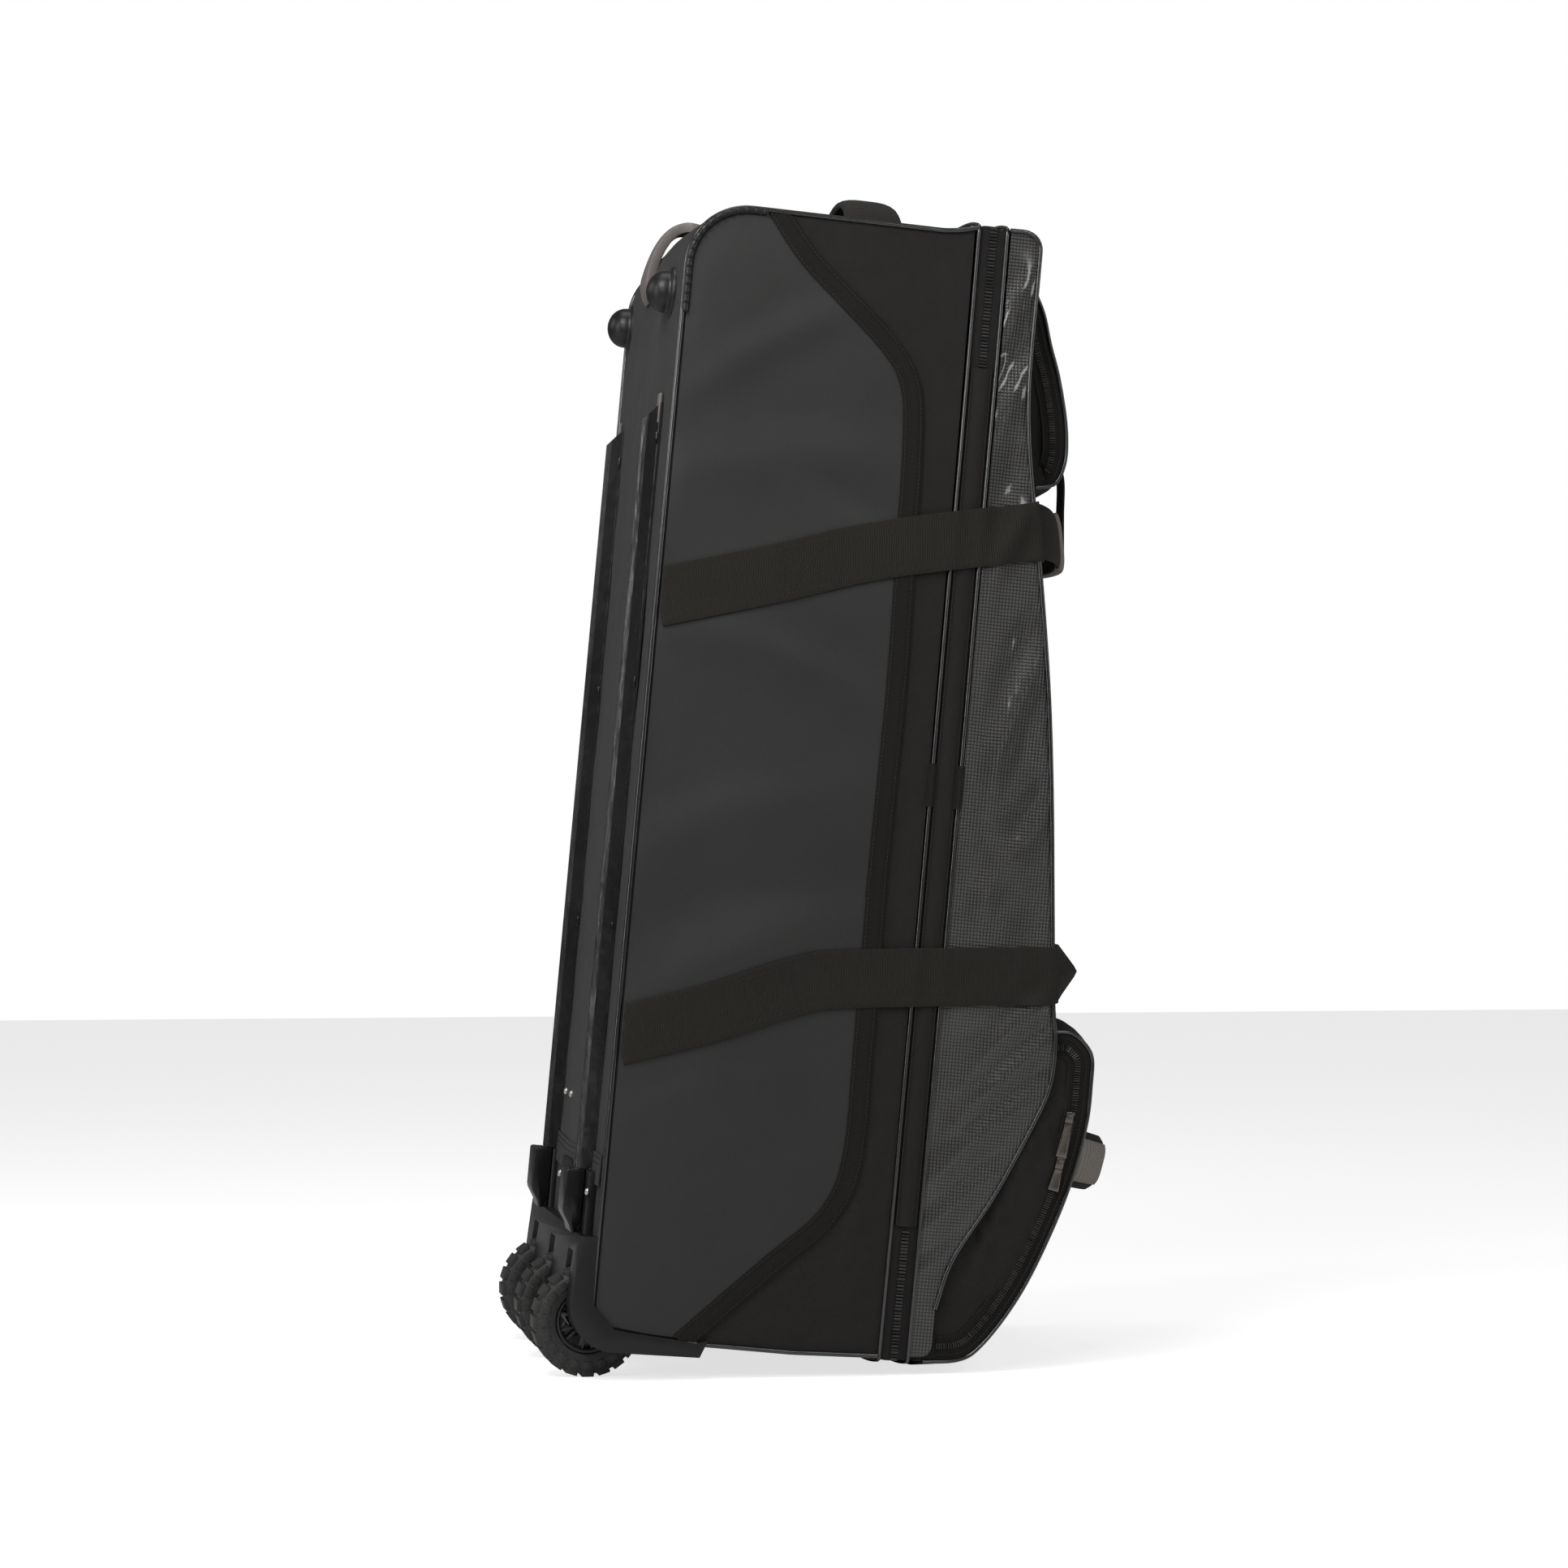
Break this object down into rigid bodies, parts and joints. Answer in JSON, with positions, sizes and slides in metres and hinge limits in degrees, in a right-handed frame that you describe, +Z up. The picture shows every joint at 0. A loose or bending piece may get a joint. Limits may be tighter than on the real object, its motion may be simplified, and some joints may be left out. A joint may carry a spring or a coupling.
{
  "type": "wheeled cricket kit bag",
  "caption": "Tall soft kit bag on end wheels: hollow tub and lid, bellows pockets, side straps, skid rails, moulded wheel tray and carry handles.",
  "frame": {"origin": "on the floor, below the middle of the bag's box, as it stands on its wheels and bottom pocket", "axes": "+Z up, X across the bag, -Y towards the lid and its pockets, +Y towards the back with the rails and wheels; the bag leans 5.2 degrees towards -Y"},
  "size_m": [0.392, 0.538, 1.0347],
  "materials": {
    "woven_cloth": "matt black plain weave, coated inside",
    "carbon_vinyl": "glossy vinyl embossed with a small dot grid",
    "coated_cloth": "satin charcoal coated cloth",
    "webbing": "ribbed polyester webbing",
    "gloss_trim": "glossy extruded trim",
    "rail_plastic": "extruded rail, ridged outer face, glossy sides",
    "cap_sheet": "glossy bent sheet",
    "grip_pad": "grey padded grip",
    "grey_handle": "satin moulded grey",
    "foot_rubber": "satin rubber",
    "moulded_tray": "fine grained moulded plastic",
    "tyre_rubber": "matt rubber with block tread",
    "rim_plastic": "satin moulded plastic",
    "axle_steel": "turned steel",
    "pull_metal": "gunmetal plating"
  },
  "bodies": {
    "bag": {"tub": "woven_cloth", "zip_gusset": "woven_cloth", "top_pocket": "woven_cloth", "bottom_pocket": "woven_cloth", "lid": "carbon_vinyl", "side_panel_left": "coated_cloth", "side_panel_right": "coated_cloth", "panel_tape_left": "webbing", "panel_tape_right": "webbing", "strap_upper_left": "webbing", "strap_upper_right": "webbing", "strap_lower_left": "webbing", "strap_lower_right": "webbing", "carry_handle_upper": "webbing", "carry_handle_lower": "webbing", "top_handle": "webbing", "front_handle": "webbing", "tub_piping_left": "gloss_trim", "tub_piping_right": "gloss_trim", "front_piping_left": "gloss_trim", "front_piping_right": "gloss_trim", "corner_guard_left": "gloss_trim", "corner_guard_right": "gloss_trim", "gusset_piping_back": "gloss_trim", "gusset_piping_front": "gloss_trim", "rail_left": "rail_plastic", "rail_right": "rail_plastic", "rail_cap_left": "cap_sheet", "rail_cap_right": "cap_sheet", "carry_wrap": "grip_pad", "back_handle": "grey_handle", "foot_left": "foot_rubber", "foot_right": "foot_rubber", "wheel_tray": "moulded_tray", "axle_left": "axle_steel", "axle_mid": "axle_steel", "axle_right": "axle_steel", "zip_slider_upper": "pull_metal", "zip_slider_lower": "pull_metal", "pull_tab_upper": "pull_metal", "pull_tab_lower": "pull_metal"},
    "wheel_left": {"tyre_left": "tyre_rubber", "rim_left": "rim_plastic"},
    "wheel_mid": {"tyre_mid": "tyre_rubber", "rim_mid": "rim_plastic"},
    "wheel_right": {"tyre_right": "tyre_rubber", "rim_right": "rim_plastic"}
  },
  "joints": [
    {"name": "wheel_left_spin", "type": "hinge", "parent": "bag", "child": "wheel_left", "pos_m": [-0.133, 0.22221, 0.047], "axis": [1, 0, 0], "continuous": true},
    {"name": "wheel_mid_spin", "type": "hinge", "parent": "bag", "child": "wheel_mid", "pos_m": [0, 0.22221, 0.047], "axis": [1, 0, 0], "continuous": true},
    {"name": "wheel_right_spin", "type": "hinge", "parent": "bag", "child": "wheel_right", "pos_m": [0.133, 0.22221, 0.047], "axis": [1, 0, 0], "continuous": true}
  ]
}
